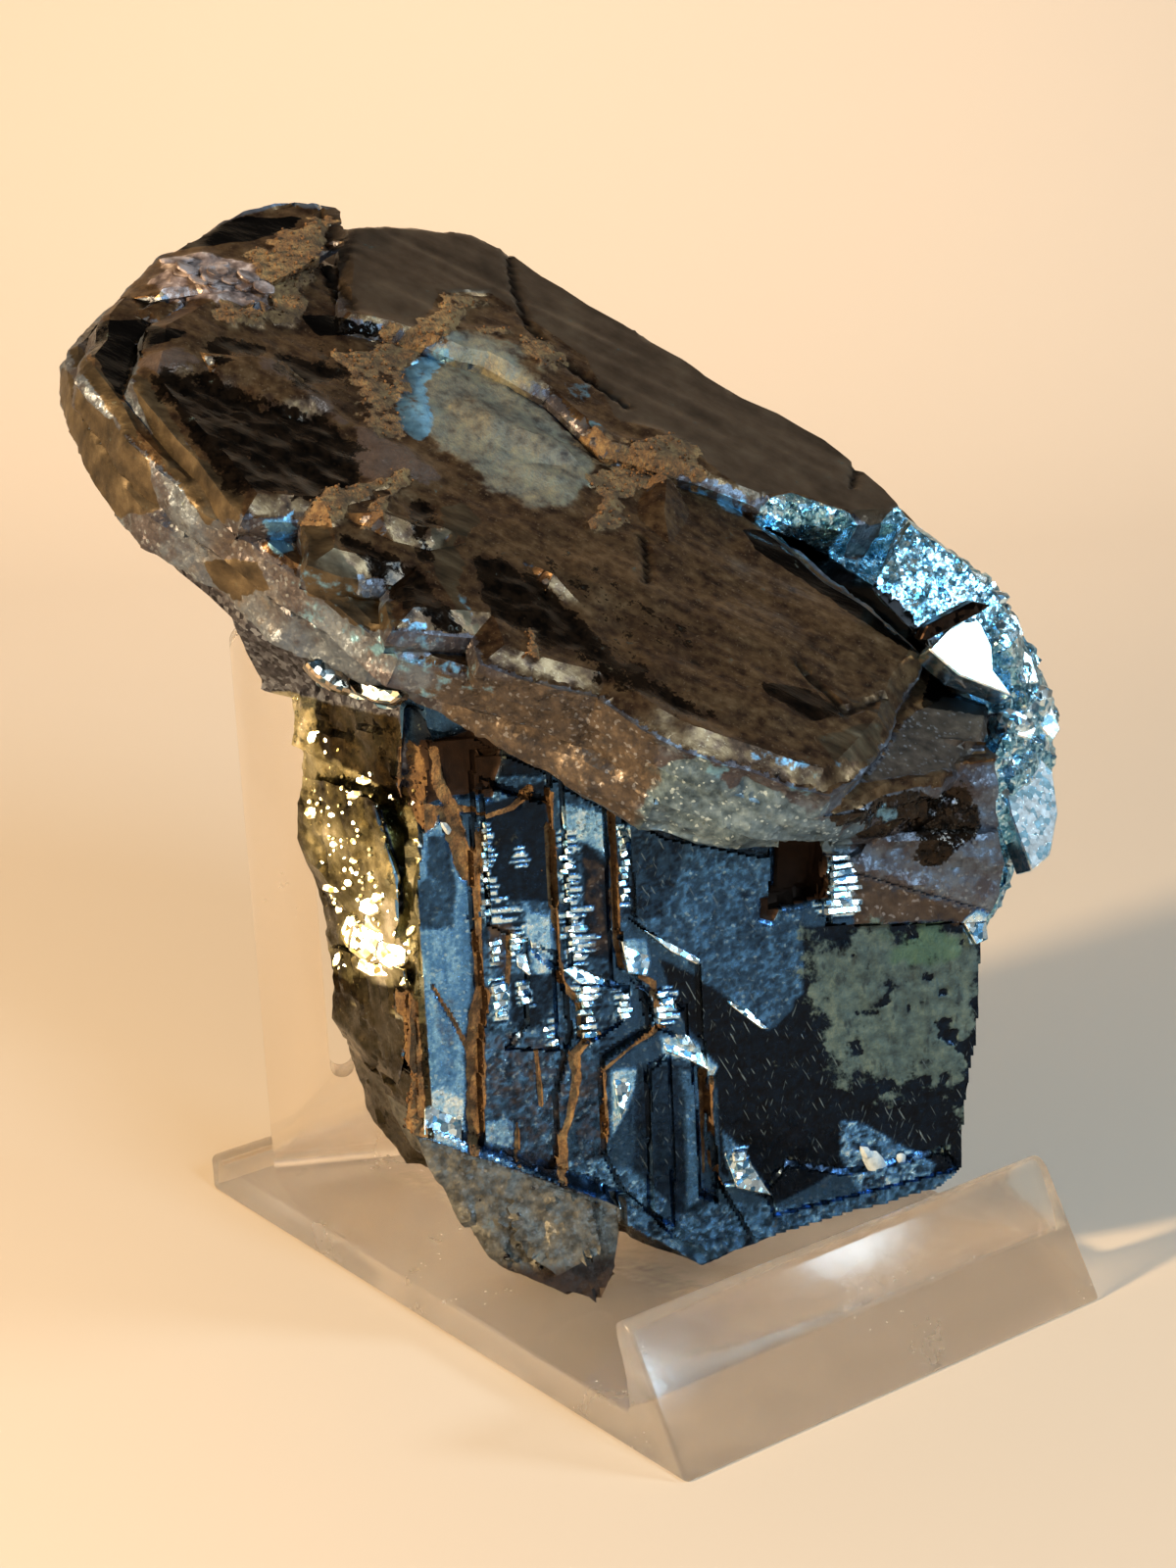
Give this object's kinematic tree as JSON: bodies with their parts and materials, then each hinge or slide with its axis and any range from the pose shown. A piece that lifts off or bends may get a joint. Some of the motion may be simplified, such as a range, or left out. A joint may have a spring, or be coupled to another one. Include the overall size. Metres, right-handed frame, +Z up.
{
  "type": "hematite iron rose on acrylic display stand",
  "caption": "Rosette of intergrown tabular hematite crystals, a thick tilted plate over a stepped wall, leaning in a clear acrylic stand with a slanted lip",
  "frame": {"origin": "middle of the stand's underside, on the surface it stands on", "axes": "+X right along the front lip, +Y from the lip to the rear, +Z up"},
  "size_m": [0.0697, 0.0738, 0.091],
  "materials": {
    "hematite": "natural metallic crystal faces, steel blue to brown black, with brown iron earth in the crevices",
    "acrylic": "clear polished acrylic with faintly frosted edges"
  },
  "bodies": {
    "root": {"iron_rose": "hematite", "stand_base": "acrylic", "stand_upright": "acrylic"}
  },
  "joints": []
}
